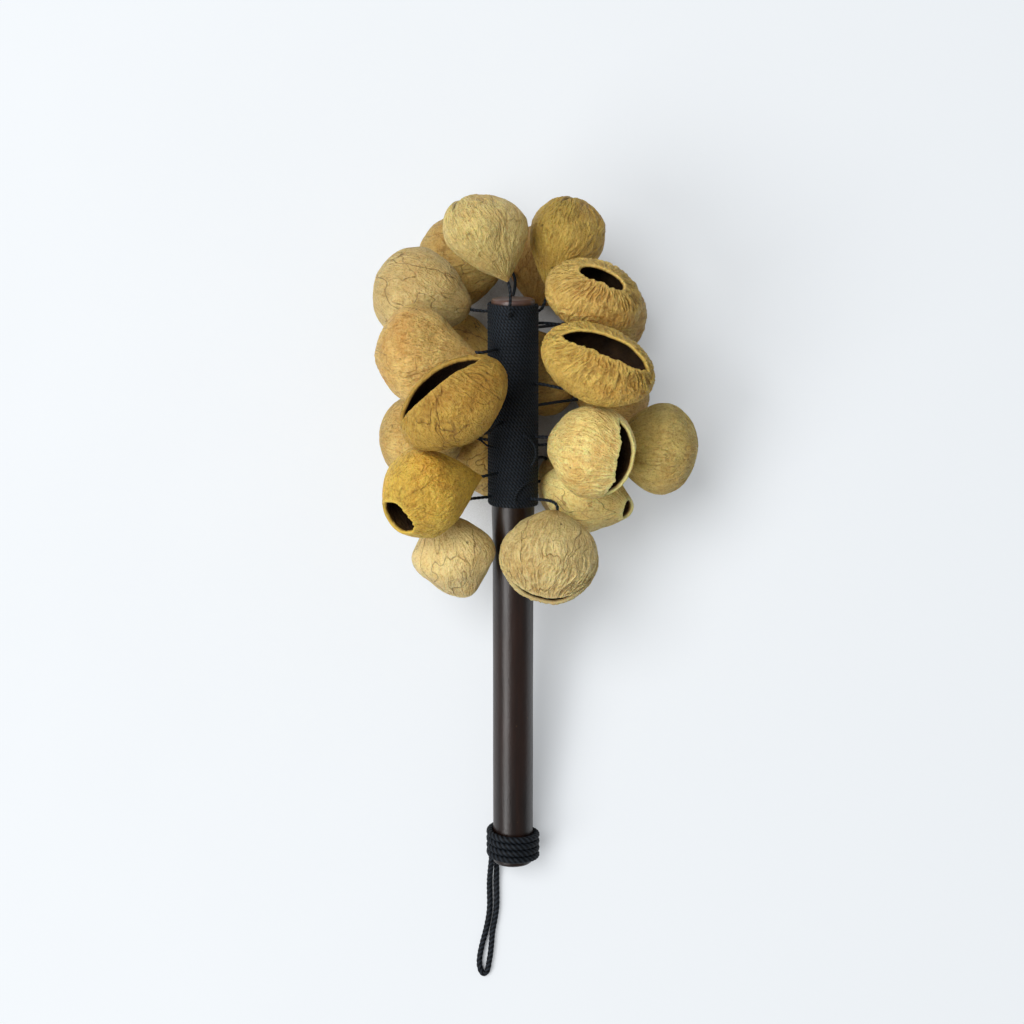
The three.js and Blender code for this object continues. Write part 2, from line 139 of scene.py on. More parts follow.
# Linear colours; a pair runs from the darkest to the palest
PIT_COLOUR = (0.08, 0.045, 0.014)
WALL_COLOURS = ((0.085, 0.042, 0.015), (0.24, 0.135, 0.05))
# The hollow's own dark brown, with painted shade that deepens it further in
HOLLOW_COLOURS = ((0.035, 0.018, 0.008), (0.11, 0.06, 0.025))
WOOD_COLOURS = ((0.0045, 0.0014, 0.0007), (0.016, 0.005, 0.002))
WOOD_WARM = (0.034, 0.011, 0.005)
WOOD_PORES = (0.004, 0.0025, 0.002)
WOOD_SCARS = (0.12, 0.065, 0.03)
WOOD_BARE = (0.1, 0.055, 0.045)
CORD_COLOUR = (0.0075, 0.0095, 0.0125)
TWINE_COLOUR = (0.0095, 0.0125, 0.0165)
PAPER_COLOURS = ((0.87, 0.9, 0.93), (0.885, 0.915, 0.945))
# Painted shade: the floor darker towards the right
PAINTED_SHADE_RIGHT = (0.8, 0.83, 0.86)
# Painted shade on the floor under and between the pods, where little sky reaches
PAINTED_FLOOR_SHADE = (0.3, 0.29, 0.28)
SKY_COLOUR = (0.95, 0.98, 1.0, 1)

# Mouths: share of the width that is open, how far it gapes, how far it sits to the side and up as shares of
# the width and depth, how blunt its ends are, how ragged it is, and how far and over what reach its lip
# stands out
SLIT = (0.78, 6, 0, 0, 1.7, 0.5, 0.3, 4)
WIDE = (0.8, 12, 0, 0, 1.3, 1.4, 0.9, 5)
SHORT = (0.48, 9, 0, 0, 0.7, 0.8, 0.5, 4)
LONG = (0.82, 11, 0, 0, 1.2, 0.5, 0.6, 4)
ROUND = (0.36, 15, -0.15, 0.11, 0.8, 0.6, 1.6, 4)
SMALL = (0.22, 7, 0, 0.06, 1.0, 0.3, 1.2, 5)
LIFTED = (0.7, 6, 0, 0.15, 1.5, 0.4, 0.4, 4)

# Surfaces: weight of the ridges and how close they lie, then the weights of the fine crinkles, the vein
# lines, the brown patches and the pebbled skin
PLAIN = (0.6, 1.0, 0.7, 0.6, 0.6, 0.35)
VEINED = (0.5, 0.9, 0.45, 1.0, 0.45, 0.3)
SMOOTH = (0.3, 1.0, 0.3, 0.9, 0.3, 0.2)
FOLDED = (1.15, 1.1, 0.45, 0.9, 0.5, 0.3)
RIDGED = (1.35, 1.5, 0.8, 0.1, 0.7, 0.35)
FIBRED = (0.5, 1.2, 1.0, 0.2, 0.55, 0.25)
PEBBLED = (0.3, 1.0, 0.4, 0.5, 0.7, 0.9)
NETTED = (0.7, 1.3, 0.6, 0.9, 0.6, 0.5)
CREASED = (1.0, 1.2, 0.7, 0.5, 0.75, 0.3)
KNOBBLY = (0.6, 1.0, 0.6, 0.4, 0.8, 0.6)

# Number, facing (heading, rise, turn), size, fullness of the tip and mouth end, mouth, slot, linear colour
# and surface of each pod
PODS = (
    (1, (-24, -18, 60), (1.06, 1.04, 1.02), (0.12, 1), SLIT, "shell_tan", (0.76, 0.59, 0.216), PLAIN),
    (2, (20, -15, 60), (1.12, 1, 1), (0.25, 0.95), SLIT, "shell_brown", (0.55, 0.377, 0.077), CREASED),
    (3, (-76, -10, 0), (1.14, 1, 1), (0.5, 1), SLIT, "shell_tan", (0.61, 0.468, 0.188), VEINED),
    (4, (-94, -15, 0), (1.16, 1.02, 1.05), (0.15, 1), SLIT, "shell_tan", (0.715, 0.5, 0.16), KNOBBLY),
    (5, (-38, 35, 0), (1, 1.18, 1), (0.75, 1), LONG, "shell_brown", (0.55, 0.345, 0.06), NETTED),
    (6, (-100, 30, 0), (1.24, 0.96, 1.05), (0.12, 1), ROUND, "shell_tan", (0.77, 0.515, 0.079), PEBBLED),
    (7, (168, -10, 0), (1, 0.92, 0.95), (0.6, 0.5), SLIT, "shell_pale", (0.78, 0.6, 0.254), SMOOTH),
    (8, (22, 50, 0), (1, 1, 0.95), (0.55, 1), SHORT, "shell_brown", (0.68, 0.472, 0.13), RIDGED),
    (9, (22, 52, 0), (1, 1.15, 1), (0.65, 1), WIDE, "shell_brown", (0.655, 0.447, 0.1), RIDGED),
    (10, (100, 42, 0), (1.1, 0.94, 1), (0.65, 1), WIDE, "shell_pale", (0.93, 0.7, 0.25), FIBRED),
    (11, (95, 8, 0), (1, 0.96, 0.95), (0.5, 1), SLIT, "shell_brown", (0.64, 0.495, 0.156), FIBRED),
    (12, (104, 18, 0), (1.12, 0.86, 0.98), (0.55, 0.5), SMALL, "shell_pale", (0.95, 0.73, 0.27), SMOOTH),
    (13, (190, 16, 0), (1.05, 1, 1), (0.8, 0.95), LIFTED, "shell_tan", (0.66, 0.525, 0.22), FOLDED),
    (14, (-85, -16, 0), (1.05, 1, 0.9), (0.65, 1), SLIT, "shell_tan", (0.6, 0.425, 0.131), PLAIN),
    (15, (20, -15, 0), (0.98, 0.93, 0.9), (0.65, 1), SLIT, "shell_tan", (0.4, 0.235, 0.06), PLAIN),
    (16, (-90, -30, 0), (1.05, 1, 0.93), (0.7, 1), SLIT, "shell_tan", (0.562, 0.375, 0.1), VEINED),
    (17, (80, -25, 0), (0.9, 0.86, 0.9), (0.5, 1), SLIT, "shell_tan", (0.625, 0.45, 0.15), RIDGED),
    (18, (90, -30, 0), (0.95, 0.9, 0.92), (0.5, 1), SLIT, "shell_tan", (0.575, 0.375, 0.106), FIBRED),
    (19, (-95, -10, 0), (1, 0.95, 0.95), (0.5, 1), SLIT, "shell_tan", (0.65, 0.463, 0.144), FIBRED),
    (20, (-140, -30, 0), (0.97, 0.96, 0.9), (0.65, 1), SLIT, "shell_tan", (0.525, 0.35, 0.088), VEINED),
    (21, (130, -30, 0), (0.94, 0.92, 0.9), (0.6, 1), SLIT, "shell_tan", (0.587, 0.413, 0.138), PLAIN),
    (22, (70, -40, 0), (0.94, 0.93, 0.9), (0.65, 1), SLIT, "shell_tan", (0.537, 0.35, 0.094), PLAIN),
)

# Loose ends of the twine on the binding (right, along the stick, above its axis)
STRAY_ENDS = (
    ((4.5, 221, 12.2), (7.5, 219, 12.8), (10.4, 215, 12.4), (10.8, 210, 12.6), (8.8, 205.5, 13.2)),
    ((9.5, 198, 9.5), (6, 197, 12.8), (2.5, 193.5, 13.8), (0.8, 189, 14.2), (2.4, 185.5, 13.4)),
    ((-10, 214, 8), (-12.5, 215, 9.2), (-15.5, 217.5, 9.5), (-18, 218.5, 8.5)),
)

# Own forms of some pods: direction on the stick's axes, how far the shell stands out there, and how wide
FORMS = {
    1: (((-0.8, 0.6, 0.2), 1.6, 0.05), ((-0.75, -0.6, 0.2), -1.2, 0.12)),
    2: (((0.85, 0.5, 0.15), 2.0, 0.04), ((0.3, 0.95, 0.0), -1.2, 0.08)),
    3: (((0.9, -0.3, 0.2), 1.2, 0.1), ((0.1, -0.9, 0.3), -1.0, 0.1)),
    4: (((0.2, 0.9, 0.3), 1.2, 0.05), ((0.3, 0.6, 0.7), -1.0, 0.06)),
    5: (((-0.23, -0.95, -0.23), -1.3, 0.12),),
    6: (((0.0, 0.8, 0.6), 1.0, 0.05), ((0.3, -0.8, 0.3), -1.2, 0.12), ((0.23, 0.95, 0.23), -1.5, 0.1)),
    7: (((0.45, -0.9, 0.0), 2.0, 0.05), ((-0.75, -0.6, 0.1), -1.5, 0.14)),
    8: (((0.04, -0.76, 0.65), -1.3, 0.12),),
    9: (((-0.04, 0.76, -0.65), -1.3, 0.12),),
    13: (((0.9, 0.4, 0.2), 1.0, 0.08), ((-0.7, 0.6, 0.4), -1.0, 0.1)),
}

# Pods up to this number show their front. Meshes: columns round a pod, rows outside and rows in the hollow
FRONT_PODS = 13
FRONT_MESH = (264, 168, 30)
BACK_MESH = (120, 72, 18)

# Noise on the shells, each with its own seed: height and reach of the swells and of the bends in the
# wrinkles, then the ridges' share and their closeness on two axes across the pod and one along it
SWELLS = ((0.9, 19, 7), (0.4, 8, 9))
BENDS = ((3.2, 11, 20), (1.3, 4.5, 24))
RIDGES = ((0.68, (0.26, 0.26, 0.065), 1), (0.32, (0.5, 0.5, 0.14), 2))
RIDGE_MIDDLE = 0.5
RELIEF_MIDDLE = 0.55
RELIEF_GAIN = 0.6
RIDGE_SHARPNESS = 0.32

# Where the folds lie: reach of the noise that gathers them, their share away from the mouth, the distances
# from the mouth over which they thin out, and the quiet skin at the tip and next to the mouth
FOLD_REACH = 15
FOLD_SHARE = 0.8
FOLD_FADE = (8, 22)
TIP_QUIET = 5
RIM_QUIET = (0.2, 2.5)

# Pits: fewest and one more than most, full radius, least and greatest faded radius, depth
PIT_COUNTS = (3, 7)
PIT_CORE = 0.25
PIT_RADII = (0.6, 1.0)
PIT_DEPTH = 0.3

# Lip of a mouth: height and reach of its roll, places of its rows across the wall and how far they bulge
LIP_HEIGHT = 0.3
LIP_REACH = 1.7
LIP_ROWS = (0.12, 0.35, 0.65, 0.88)
LIP_BULGE = 0.35

# Edge of a mouth: points on its outline, waves round it, unevenness of its gape, share of the raggedness on
# its lower side, and height, closeness and seed of the ragged noise
RIM_POINTS = 2000
RIM_WAVES = 1.5
GAPE_UNEVENNESS = 0.3
LOWER_RAGGEDNESS = 0.3
RAGS = ((0.9, 3, 1), (0.45, 9, 2))


def node_points(name):
    """Vertices of a CAD node in millimetres."""
    vertices = frame["nodes"][name].data.vertices
    points = np.empty(len(vertices) * 3)
    vertices.foreach_get("co", points)
    return points.reshape(-1, 3) / MM


def unit(vectors):
    return vectors / np.maximum(np.linalg.norm(vectors, axis=-1, keepdims=True), 1e-12)


# The stick's own axes: X right, Y towards the head, Z up, from the middle of the butt face
stick_points = node_points("stick")
along = np.linalg.svd(stick_points - stick_points.mean(0), full_matrices=False)[2][0]
lean = math.atan2(along[2] * np.sign(along[1]), abs(along[1]))
STICK_TURN = np.array([
    [1, 0, 0],
    [0, math.cos(lean), -math.sin(lean)],
    [0, math.sin(lean), math.cos(lean)],
])
local = stick_points @ STICK_TURN
middle = (local.min(0) + local.max(0)) / 2
BUTT = STICK_TURN @ np.array([middle[0], local[:, 1].min(), middle[2]])


def on_stick(points):
    """From the stick's axes to the row frame, in millimetres."""
    return np.asarray(points, float) @ STICK_TURN.T + BUTT


# Noise

def scramble(cell, seed):
    """Three numbers from -1 to 1 for each whole-number cell."""
    c = cell.astype(np.int64).astype(np.uint32)
    h = c[..., 0] * np.uint32(0x8DA6B343) ^ c[..., 1] * np.uint32(0xD8163841)
    h = h ^ c[..., 2] * np.uint32(0xCB1AB31F) ^ np.uint32((seed * 0x9E3779B1) & 0xFFFFFFFF)
    for shift, factor in ((15, 0x2C1B3C6D), (12, 0x297A2D39)):
        h = (h ^ (h >> np.uint32(shift))) * np.uint32(factor)
    h = h ^ (h >> np.uint32(15))
    parts = [(h >> np.uint32(10 * k)) & np.uint32(1023) for k in range(3)]
    return np.stack(parts, -1).astype(float) / 511.5 - 1


def noise(points, seed):
    """Smooth noise from about -1 to 1."""
    base = np.floor(points)
    part = points - base
    ease = part ** 3 * (part * (part * 6 - 15) + 10)
    total = 0
    for corner in np.ndindex(2, 2, 2):
        slope = scramble(base + corner, seed)
        weight = np.prod(np.where(corner, ease, 1 - ease), axis=-1)
        total = total + weight * np.sum(slope * (part - corner), axis=-1)
    return total * 1.4


def noise3(points, seed):
    return np.stack([noise(points, seed + k) for k in range(3)], -1)


def smooth(low, high, value):
    x = np.clip((value - low) / (high - low), 0, 1)
    return x * x * (3 - 2 * x)


# Meshes

def piece(name, points, faces, material, body, attributes=None, matrix=None):
    """A smooth mesh piece from points in millimetres; attributes are values for each point."""
    mesh = bpy.data.meshes.new(name)
    mesh.vertices.add(len(points))
    mesh.vertices.foreach_set("co", (np.asarray(points) * MM).ravel())
    faces = [np.asarray(group) for group in faces if len(group)]
    loops = np.concatenate([group.ravel() for group in faces])
    sizes = np.concatenate([np.full(len(group), group.shape[1]) for group in faces])
    mesh.loops.add(len(loops))
    mesh.loops.foreach_set("vertex_index", loops.astype(np.int32))
    mesh.polygons.add(len(sizes))
    mesh.polygons.foreach_set("loop_start", np.concatenate([[0], np.cumsum(sizes)[:-1]]).astype(np.int32))
    mesh.polygons.foreach_set("use_smooth", np.ones(len(sizes), bool))
    mesh.update(calc_edges=True)
    mesh.validate()
    for key, values in (attributes or {}).items():
        kind, field = ("FLOAT_VECTOR", "vector") if values.ndim == 2 else ("FLOAT", "value")
        layer = mesh.attributes.new(key, kind, "POINT")
        layer.data.foreach_set(field, values.ravel().astype(np.float32))
    obj = bpy.data.objects.new(name, mesh)
    bpy.context.scene.collection.objects.link(obj)
    mesh.materials.append(material)
    if matrix is not None:
        obj.matrix_world = matrix
    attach(obj, body)
    return obj


def grid_faces(rows, columns, closed_rows=False):
    """Quads of a grid whose columns close round; closed_rows also joins the last row to the first."""
    r = np.arange(rows if closed_rows else rows - 1)[:, None]
    c = np.arange(columns)[None, :]
    down = (r + 1) % rows
    right = (c + 1) % columns
    quads = [r * columns + c, r * columns + right, down * columns + right, down * columns + c]
    return np.stack([q + 0 * r + 0 * c for q in quads], -1).reshape(-1, 4)


def capped_grid(rows, columns):
    """Faces of an open tube of rows of points with a flat cap on each end."""
    last = (rows - 1) * columns
    ends = np.array([np.arange(columns)[::-1], last + np.arange(columns)])
    return [grid_faces(rows, columns), ends]


def resample(points, step):
    """Points about one step apart on a smooth curve through the given points."""
    points = np.asarray(points, float)
    padded = np.vstack([2 * points[0] - points[1], points, 2 * points[-1] - points[-2]])
    fine = []
    for a, b, c, d in zip(padded, padded[1:], padded[2:], padded[3:]):
        t = np.linspace(0, 1, 24, endpoint=False)[:, None]
        fine.append(0.5 * (2 * b + (c - a) * t + (2 * a - 5 * b + 4 * c - d) * t ** 2
                           + (3 * b - a - 3 * c + d) * t ** 3))
    fine = np.vstack(fine + [points[-1:]])
    run = np.concatenate([[0], np.cumsum(np.linalg.norm(np.diff(fine, axis=0), axis=1))])
    count = max(4, int(round(run[-1] / step)) + 1)
    at = np.linspace(0, run[-1], count)
    return np.stack([np.interp(at, run, fine[:, k]) for k in range(3)], -1), at


def carried_axes(path):
    """Two cross directions, carried along a path without twist, at each of its points."""
    tangent = unit(np.gradient(path, axis=0))
    aside = np.cross(tangent[0], [0.3, 0.2, 0.93])
    rows = []
    for t in tangent:
        aside = aside - t * np.dot(aside, t)
        aside = aside / np.linalg.norm(aside)
        rows.append(aside)
    aside = np.array(rows)
    return aside, np.cross(tangent, aside)


def twisted_cord(path, run, aside, across, diameter, lay, spread=1.0):
    """Points, faces and lobe values of a cord of strands twisted about each other."""
    strands, twist, groove, sides = lay
    angle = TURN * np.arange(sides) / sides
    phase = TURN * run[:, None] / twist
    lobe = np.abs(np.cos((angle[None, :] - phase) * strands / 2))
    radius = diameter / 2 * (1 - groove + groove * lobe ** 0.7)
    ring = (np.cos(angle)[None, :, None] * aside[:, None, :]
            + spread * np.sin(angle)[None, :, None] * across[:, None, :])
    points = path[:, None, :] + radius[..., None] * ring
    return points.reshape(-1, 3), capped_grid(len(path), sides), lobe.ravel()


def cord_piece(name, route, step, diameter, lay, material, body):
    """Twisted cord along a route, with its path and the length run at each point of it."""
    path, run = resample(route, step)
    aside, across = carried_axes(path)
    points, faces, lobe = twisted_cord(path, run, aside, across, diameter, lay)
    return piece(name, points, faces, material, body, {"lobe": lobe}), path, run


# Materials

def material_of(name):
    material = bpy.data.materials.new(name)
    material.use_nodes = True
    tree = material.node_tree
    return material, tree, tree.nodes["Principled BSDF"]


def add(tree, kind, inputs=None, **settings):
    node = tree.nodes.new(kind)
    for key, value in settings.items():
        setattr(node, key, value)
    for key, value in (inputs or {}).items():
        socket = node.inputs[key]
        if hasattr(value, "is_output"):
            tree.links.new(value, socket)
        else:
            socket.default_value = value
    return node


def attribute(tree, name):
    return add(tree, "ShaderNodeAttribute", attribute_name=name, attribute_type="GEOMETRY")


def math_node(tree, operation, a, b=0.0, clamp=False):
    node = add(tree, "ShaderNodeMath", {0: a, 1: b}, operation=operation, use_clamp=clamp)
    return node.outputs[0]


def ranged(tree, value, low, high, to_low=0.0, to_high=1.0):
    """Value carried from low and high to two other ends, and held there."""
    inputs = {"Value": value, "From Min": low, "From Max": high, "To Min": to_low, "To Max": to_high}
    return add(tree, "ShaderNodeMapRange", inputs, clamp=True).outputs["Result"]


def mixed(tree, factor, a, b):
    """Colour a turned into colour b by a factor; a plain colour has three channels."""
    inputs = {0: factor}
    for key, colour in ((6, a), (7, b)):
        inputs[key] = colour if hasattr(colour, "is_output") else (*colour, 1)
    return add(tree, "ShaderNodeMix", inputs, data_type="RGBA", clamp_factor=True).outputs[2]


def noise_node(tree, vector, scale, detail, roughness, distortion=0.0):
    """Noise from 0 to 1 at a vector, with its scale, detail, roughness and distortion."""
    inputs = {"Vector": vector, "Scale": scale, "Detail": detail, "Roughness": roughness}
    inputs["Distortion"] = distortion
    return add(tree, "ShaderNodeTexNoise", inputs).outputs["Fac"]


def scaled(tree, vector, factors):
    return add(tree, "ShaderNodeMapping", {"Vector": vector, "Scale": factors}).outputs["Vector"]


def times(colour, factor):
    return tuple(channel * factor for channel in colour)


def line_mask(tree, vector, factors, wide):
    """Thin lines where smooth noise passes its middle value."""
    level = noise_node(tree, scaled(tree, vector, factors), 1, 1.5, 0.4)
    off = math_node(tree, "ABSOLUTE", math_node(tree, "SUBTRACT", level, 0.5))
    return ranged(tree, off, 0.2 * wide, wide, 1, 0)


def shell_material(name, colour, surface):
    """Dry shell: mottled, crinkled skin with pebbles, veins and pits, painted shade in its dips and fold
    valleys and painted highlight on their crowns, a pale rim and a dark inside that painted shade darkens
    further in.
    """
    crinkles, veins, patches, pebbles = surface[2:]
    material, tree, shader = material_of(name)
    place = add(tree, "ShaderNodeTexCoord").outputs["Object"]
    grain = attribute(tree, "grain").outputs["Vector"]
    keys = ("relief", "inside", "rim", "tip", "pit")
    relief, inside, rim, tip, pit = [attribute(tree, key).outputs["Fac"] for key in keys]

    cloud = noise_node(tree, place, 55, 4, 0.6, 0.6)
    speck = noise_node(tree, place, 1100, 2, 0.6)
    pebble = noise_node(tree, place, 420, 2, 0.5, 0.3)
    crinkle = noise_node(tree, scaled(tree, grain, (0.85, 0.85, 0.2)), 1, 3, 0.6, 0.7)
    streak = noise_node(tree, scaled(tree, grain, (0.35, 0.35, 0.05)), 1, 4, 0.6, 0.5)
    stain = noise_node(tree, place, 27, 5, 0.62, 0.8)
    gate = ranged(tree, noise_node(tree, place, 70, 2, 0.5), 0.42, 0.58)
    vein_a = line_mask(tree, grain, (0.05, 0.05, 0.024), 0.0075)
    vein_b = math_node(tree, "MULTIPLY", line_mask(tree, grain, (0.12, 0.12, 0.06), 0.012), gate)
    vein = math_node(tree, "MULTIPLY", math_node(tree, "MAXIMUM", vein_a, vein_b), veins)

    # Brown of the patches, the tip and the veins, also the base of the painted shade in the dips and folds
    burnt_and_shade = (colour[0] * 0.78, colour[1] * 0.52, colour[2] * 0.28)
    pale = tuple(min(0.92, channel * gain) for channel, gain in zip(colour, (1.25, 1.29, 1.45)))
    skin = mixed(tree, ranged(tree, cloud, 0.35, 0.68), times(colour, 0.9), times(colour, 1.16))

    # Layers over the skin: value, where it starts and where it is full, weight there and colour
    for value, start, full, weight, layer in (
        (streak, 0.5, 0.7, 0.55, pale),
        (stain, 0.44, 0.64, patches, burnt_and_shade),
        (tip, 0.0, 1.0, 0.45, burnt_and_shade),
        # Crinkles, pebbles and specks follow the bumps: painted shade in their dips and painted highlight on
        # their crowns
        (crinkle, 0.5, 0.34, 0.44 * crinkles, times(burnt_and_shade, 0.62)),
        (crinkle, 0.52, 0.68, 0.34 * crinkles, pale),
        (pebble, 0.48, 0.3, 0.6 * pebbles, times(burnt_and_shade, 0.6)),
        (pebble, 0.52, 0.7, 0.4 * pebbles, pale),
        (speck, 0.5, 0.32, 0.42, times(burnt_and_shade, 0.66)),
        (speck, 0.52, 0.7, 0.2, pale),
        # Folds: painted shade in their valleys and painted highlight on their crests
        (relief, 0.48, 0.0, 0.85, times(burnt_and_shade, 0.48)),
        (relief, 0.55, 0.95, 0.6, pale),
        (vein, 0.0, 1.0, 0.7, times(burnt_and_shade, 0.4)),
        (pit, 0.0, 1.0, 0.8, PIT_COLOUR),
        (rim, 0.0, 1.0, 0.5, pale),
    ):
        skin = mixed(tree, ranged(tree, value, start, full, 0, weight), skin, layer)

    wall = mixed(tree, ranged(tree, pebble, 0.35, 0.65), *WALL_COLOURS)
    depth = mixed(tree, ranged(tree, cloud, 0.35, 0.7), *HOLLOW_COLOURS)
    # Inside: the wall's and the hollow's own browns, darkened further in as painted shade
    skin = mixed(tree, ranged(tree, inside, 0.0, 0.4), skin, wall)
    skin = mixed(tree, ranged(tree, inside, 0.4, 1.0), skin, depth)
    tree.links.new(skin, shader.inputs["Base Color"])

    rough = ranged(tree, speck, 0.3, 0.7, 0.62, 0.46)
    rough = math_node(tree, "ADD", rough, math_node(tree, "MULTIPLY", inside, 0.3), True)
    tree.links.new(rough, shader.inputs["Roughness"])
    shader.inputs["Specular IOR Level"].default_value = 0.36
    shader.inputs["Subsurface Weight"].default_value = 0.3
    shader.inputs["Subsurface Radius"].default_value = (1.0, 0.5, 0.2)
    shader.inputs["Subsurface Scale"].default_value = 0.0025

    bump = add(tree, "ShaderNodeBump", {"Height": vein, "Strength": 0.8, "Distance": 0.0006}, invert=True)
    for height, strength, distance in (
        (streak, 0.5, 0.003),
        (crinkle, 0.4 + 0.5 * crinkles, 0.0022),
        (pebble, 0.25 + 0.7 * pebbles, 0.0014),
        (speck, 0.8, 0.0005),
    ):
        inputs = {"Height": height, "Strength": min(1.0, strength), "Distance": distance}
        inputs["Normal"] = bump.outputs["Normal"]
        bump = add(tree, "ShaderNodeBump", inputs)
    tree.links.new(bump.outputs["Normal"], shader.inputs["Normal"])
    return material


def fibre_material(name, colour, scale):
    """Black twisted fibre with painted highlight on the strands' crowns and painted shade in the grooves."""
    material, tree, shader = material_of(name)
    place = add(tree, "ShaderNodeTexCoord").outputs["Object"]
    lobe = attribute(tree, "lobe").outputs["Fac"]
    hair = noise_node(tree, place, scale, 4, 0.7)
    cloud = noise_node(tree, place, 60, 3, 0.6)
    # Painted highlight on the crowns of the strands and painted shade in the grooves between them
    tone = mixed(tree, ranged(tree, lobe, 0.45, 1.0), times(colour, 0.1), times(colour, 3.0))
    tone = mixed(tree, ranged(tree, hair, 0.54, 0.75, 0, 0.5), tone, times(colour, 3.2))
    tone = mixed(tree, ranged(tree, cloud, 0.4, 0.7, 0, 0.4), tone, times(colour, 0.5))
    tree.links.new(tone, shader.inputs["Base Color"])
    tree.links.new(ranged(tree, hair, 0.3, 0.7, 0.5, 0.75), shader.inputs["Roughness"])
    shader.inputs["Specular IOR Level"].default_value = 0.14
    bump = add(tree, "ShaderNodeBump", {"Height": hair, "Strength": 0.5, "Distance": 0.0002})
    tree.links.new(bump.outputs["Normal"], shader.inputs["Normal"])
    return material


def wood_material():
    """Dark stained dowel with fine grain along it, a satin coat, small scars and a paler bare head end."""
    material, tree, shader = material_of("stained_wood")
    place = add(tree, "ShaderNodeTexCoord").outputs["Object"]
    grain = noise_node(tree, scaled(tree, place, (260, 9, 260)), 1, 5, 0.65, 0.5)
    fine = noise_node(tree, scaled(tree, place, (900, 60, 900)), 1, 4, 0.7)
    cloud = noise_node(tree, scaled(tree, place, (60, 12, 60)), 1, 4, 0.6)
    tone = mixed(tree, ranged(tree, grain, 0.35, 0.68), *WOOD_COLOURS)
    tone = mixed(tree, ranged(tree, cloud, 0.45, 0.75, 0, 0.5), tone, WOOD_WARM)
    tone = mixed(tree, ranged(tree, fine, 0.56, 0.75, 0, 0.5), tone, WOOD_PORES)
    scar = add(tree, "ShaderNodeTexVoronoi", {"Vector": scaled(tree, place, (150, 110, 150)), "Scale": 1.0})
    scar_mask = ranged(tree, scar.outputs["Distance"], 0.03, 0.075, 1, 0)
    tone = mixed(tree, math_node(tree, "MULTIPLY", scar_mask, 0.4), tone, WOOD_SCARS)
    bare = attribute(tree, "bare").outputs["Fac"]
    tone = mixed(tree, bare, tone, WOOD_BARE)
    tree.links.new(tone, shader.inputs["Base Color"])
    tree.links.new(ranged(tree, fine, 0.3, 0.7, 0.3, 0.4), shader.inputs["Roughness"])
    shader.inputs["Specular IOR Level"].default_value = 0.55
    peel = noise_node(tree, place, 520, 3, 0.6)
    bump = add(tree, "ShaderNodeBump", {"Height": peel, "Strength": 0.5, "Distance": 0.00022})
    tree.links.new(bump.outputs["Normal"], shader.inputs["Normal"])
    return material


# Stage, light and camera

def stage():
    """White floor with painted shade and a painted glow, pale sky, two lights and the camera."""
    scene = bpy.context.scene
    scene.view_settings.view_transform = "Standard"

    mesh = bpy.data.meshes.new("floor")
    half = FLOOR_HALF
    corners = [(-half, -half, 0), (half, -half, 0), (half, half, 0), (-half, half, 0)]
    mesh.from_pydata(corners, [], [(0, 1, 2, 3)])
    floor = bpy.data.objects.new("floor", mesh)
    floor.location.z = -FLOOR_DROP
    scene.collection.objects.link(floor)
    material, tree, shader = material_of("floor")
    place = add(tree, "ShaderNodeTexCoord").outputs["Object"]
    paper = noise_node(tree, place, 7, 3, 0.5)
    across = add(tree, "ShaderNodeSeparateXYZ", {"Vector": place}).outputs["X"]
    tone = mixed(tree, ranged(tree, paper, 0.3, 0.7), *PAPER_COLOURS)
    # Painted shade: the floor turns darker towards the right
    tone = mixed(tree, ranged(tree, across, -0.25, 0.25), tone, PAINTED_SHADE_RIGHT)
    # Painted shade: the floor darkens where the pods and stick hide it from the sky
    open_sky = add(tree, "ShaderNodeAmbientOcclusion", {"Distance": 0.25}, samples=8).outputs["AO"]
    ground = mixed(tree, ranged(tree, open_sky, 0.08, 0.32), PAINTED_FLOOR_SHADE, tone)
    tree.links.new(ground, shader.inputs["Base Color"])
    shader.inputs["Roughness"].default_value = 0.9
    shader.inputs["Specular IOR Level"].default_value = 0.1
    # Painted light: a glow seen only by the camera lightens the open floor and its cast shadows, less where
    # the pods hide it
    seen = add(tree, "ShaderNodeLightPath").outputs["Is Camera Ray"]
    glow = add(tree, "ShaderNodeEmission", {"Color": tone})
    share = math_node(tree, "MULTIPLY", seen, ranged(tree, open_sky, 0.2, 0.5, 0, 0.38))
    parts = {0: share, 1: shader.outputs["BSDF"], 2: glow.outputs["Emission"]}
    both = add(tree, "ShaderNodeMixShader", parts)
    tree.links.new(both.outputs["Shader"], tree.nodes["Material Output"].inputs["Surface"])
    mesh.materials.append(material)

    world = bpy.data.worlds.new("studio")
    scene.world = world
    world.use_nodes = True
    background = world.node_tree.nodes["Background"]
    background.inputs["Color"].default_value = SKY_COLOUR
    background.inputs["Strength"].default_value = SKY_STRENGTH

    for name, energy, angle, way in LIGHTS:
        light = bpy.data.lights.new(name, "SUN")
        light.energy = energy
        light.angle = math.radians(angle)
        lamp = bpy.data.objects.new(name, light)
        lamp.rotation_euler = Vector(way).to_track_quat("-Z", "Y").to_euler()
        scene.collection.objects.link(lamp)

    camera = bpy.data.cameras.new("camera")
    camera.sensor_width = SENSOR_WIDTH
    camera.lens = SENSOR_WIDTH * FOCAL_PIXELS / PHOTO_PIXELS
    camera.clip_start = 0.05
    camera.clip_end = 20
    holder = bpy.data.objects.new("camera", camera)
    holder.location = (BUTT[0] * MM + CAMERA_OFFSET[0], BUTT[1] * MM + CAMERA_OFFSET[1], CAMERA_HEIGHT)
    scene.collection.objects.link(holder)
    scene.camera = holder


# Wrist loop and butt band

def band_turn_height(around):
    """Height of the band's first turn at so many degrees round the stick."""
    return BUTT_BARE_LENGTH + (CORD_DIAMETER + BAND_SPACING) * around / 360


